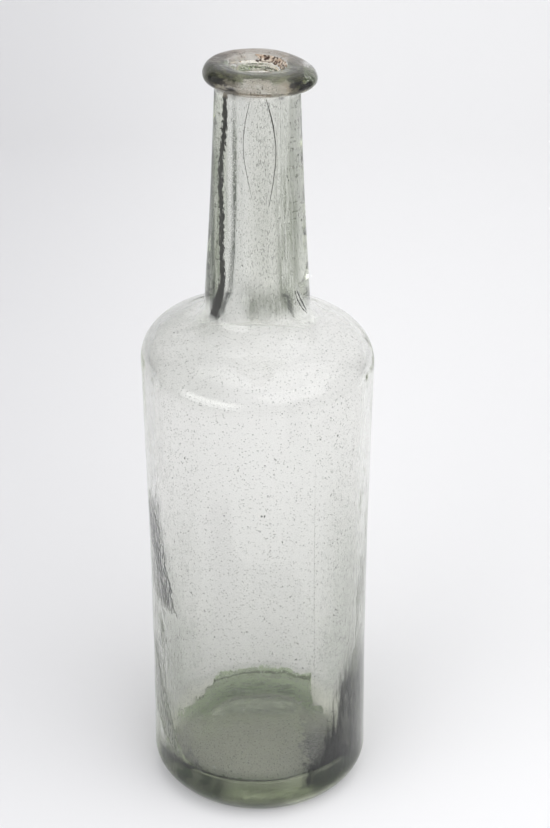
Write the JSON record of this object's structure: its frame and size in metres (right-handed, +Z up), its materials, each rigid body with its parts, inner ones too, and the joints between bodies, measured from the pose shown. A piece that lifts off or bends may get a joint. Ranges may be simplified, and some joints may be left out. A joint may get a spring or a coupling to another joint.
{
  "type": "glass bottle",
  "caption": "Tall hand-blown bottle of pale green glass: slightly tapered round body, round shoulder, long tapered neck and an applied ring lip with an open mouth.",
  "frame": {"origin": "on the resting plane, on the axis of the body", "axes": "+Z up along the bottle, -Y towards the viewer of the picture, +X to the right in the picture"},
  "size_m": [0.0794, 0.0794, 0.2704],
  "materials": {
    "bottle_glass": "clear pale grey-green glass with seeds and ripples",
    "lip_glass": "clear glass, smokier and browner than the bottle",
    "crust": "dry crumbly residue of cork and wax"
  },
  "bodies": {
    "root": {"vessel": "bottle_glass", "lip_ring": "lip_glass", "mouth_crust": "crust"}
  },
  "joints": []
}
